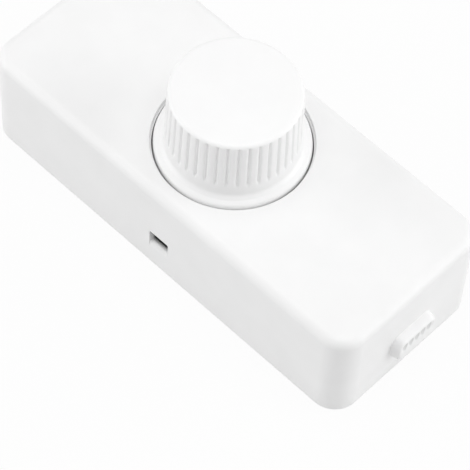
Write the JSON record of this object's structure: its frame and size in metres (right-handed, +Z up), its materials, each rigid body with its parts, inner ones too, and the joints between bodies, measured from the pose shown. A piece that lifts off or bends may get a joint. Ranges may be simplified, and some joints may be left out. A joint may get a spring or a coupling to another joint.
{
  "type": "rotary dimmer",
  "caption": "In-line rotary dimmer for a lamp cord: a snap-together rounded oblong housing with a soft inlet at each end and a grooved knob turning in a round well.",
  "frame": {"origin": "middle of the housing's underside, on the knob's axis", "axes": "+X along the cord towards the outgoing end, +Z up out of the knob, +Y across the housing"},
  "size_m": [0.0958, 0.038, 0.0388],
  "materials": {
    "housing_plastic": "fine satin moulded white",
    "knob_plastic": "fine satin moulded white",
    "grommet_soft": "soft white, matt",
    "clamp_plastic": "natural nylon",
    "zinc_steel": "zinc plated",
    "spring_steel": "blued",
    "board_laminate": "green solder resist",
    "terminal_plastic": "moulded blue",
    "plated_brass": "bright",
    "fuse_glass": "clear",
    "nickel_cap": "nickel plated",
    "capacitor_case": "moulded yellow",
    "dipped_case": "dipped red brown",
    "resistor_coat": "lacquered beige",
    "diode_glass": "blue lacquer",
    "black_epoxy": "moulded black",
    "tinned_copper": "tinned",
    "bare_aluminium": "mill finish",
    "core_paint": "painted yellow",
    "enamelled_copper": "enamelled wire",
    "phenolic_wafer": "pressed brown laminate",
    "carbon_ink": "printed carbon"
  },
  "bodies": {
    "housing": {"cover": "housing_plastic", "base_plate": "housing_plastic", "cord_grommet_in": "grommet_soft", "cord_grommet_out": "grommet_soft", "cord_clamp_in": "clamp_plastic", "cord_clamp_out": "clamp_plastic", "clamp_screws": "zinc_steel", "circuit_board": "board_laminate", "board_screws": "zinc_steel", "terminal_block_in": "terminal_plastic", "terminal_block_out": "terminal_plastic", "terminal_cages": "plated_brass", "terminal_screws": "zinc_steel", "fuse_tube": "fuse_glass", "fuse_caps": "nickel_cap", "fuse_clips": "plated_brass", "suppression_capacitor": "capacitor_case", "timing_capacitor": "dipped_case", "resistors": "resistor_coat", "diac": "diode_glass", "triac_body": "black_epoxy", "triac_tab": "tinned_copper", "heat_sink": "bare_aluminium", "heat_sink_screw": "zinc_steel", "heat_sink_nut": "zinc_steel", "choke_core": "core_paint", "choke_winding": "enamelled_copper", "pot_can": "zinc_steel", "pot_bushing": "plated_brass", "pot_wafer": "phenolic_wafer", "carbon_track": "carbon_ink", "pot_terminals": "tinned_copper", "switch_case": "black_epoxy", "switch_terminals": "tinned_copper"},
    "knob": {"knob": "knob_plastic", "knob_clip": "spring_steel", "pot_shaft": "bare_aluminium", "pot_rotor": "black_epoxy", "wiper": "plated_brass"}
  },
  "joints": [
    {"name": "knob_turn", "type": "hinge", "parent": "housing", "child": "knob", "pos_m": [0, 0, 0.0272], "axis": [0, 0, -1], "range_deg": [0, 300]}
  ]
}
